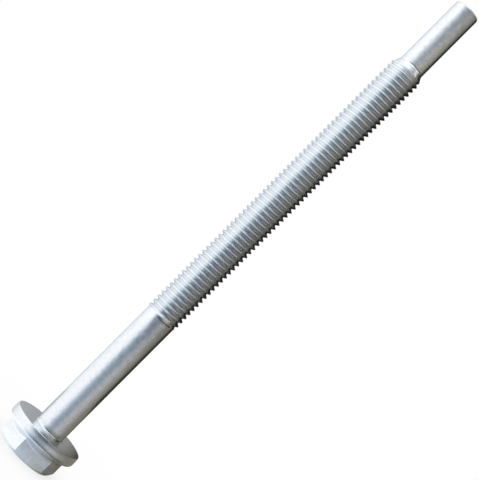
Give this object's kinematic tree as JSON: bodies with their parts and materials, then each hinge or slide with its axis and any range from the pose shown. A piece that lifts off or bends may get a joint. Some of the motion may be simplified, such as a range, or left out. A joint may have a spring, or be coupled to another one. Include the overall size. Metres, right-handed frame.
{
  "type": "hex flange bolt",
  "caption": "Long hex flange bolt with a plain shank, a rolled metric thread and a plain pilot point, standing on its head.",
  "frame": {"origin": "centre of the flat top of the head, on which the bolt stands", "axes": "+Z along the bolt's axis towards its tip; two flats of the hexagon face +Y and -Y, and two of its corners lie on the X axis"},
  "size_m": [0.0216, 0.0216, 0.1639],
  "materials": {
    "zinc_plated_steel": "satin clear zinc plating over forged and rolled steel"
  },
  "bodies": {
    "root": {"bolt": "zinc_plated_steel"}
  },
  "joints": []
}
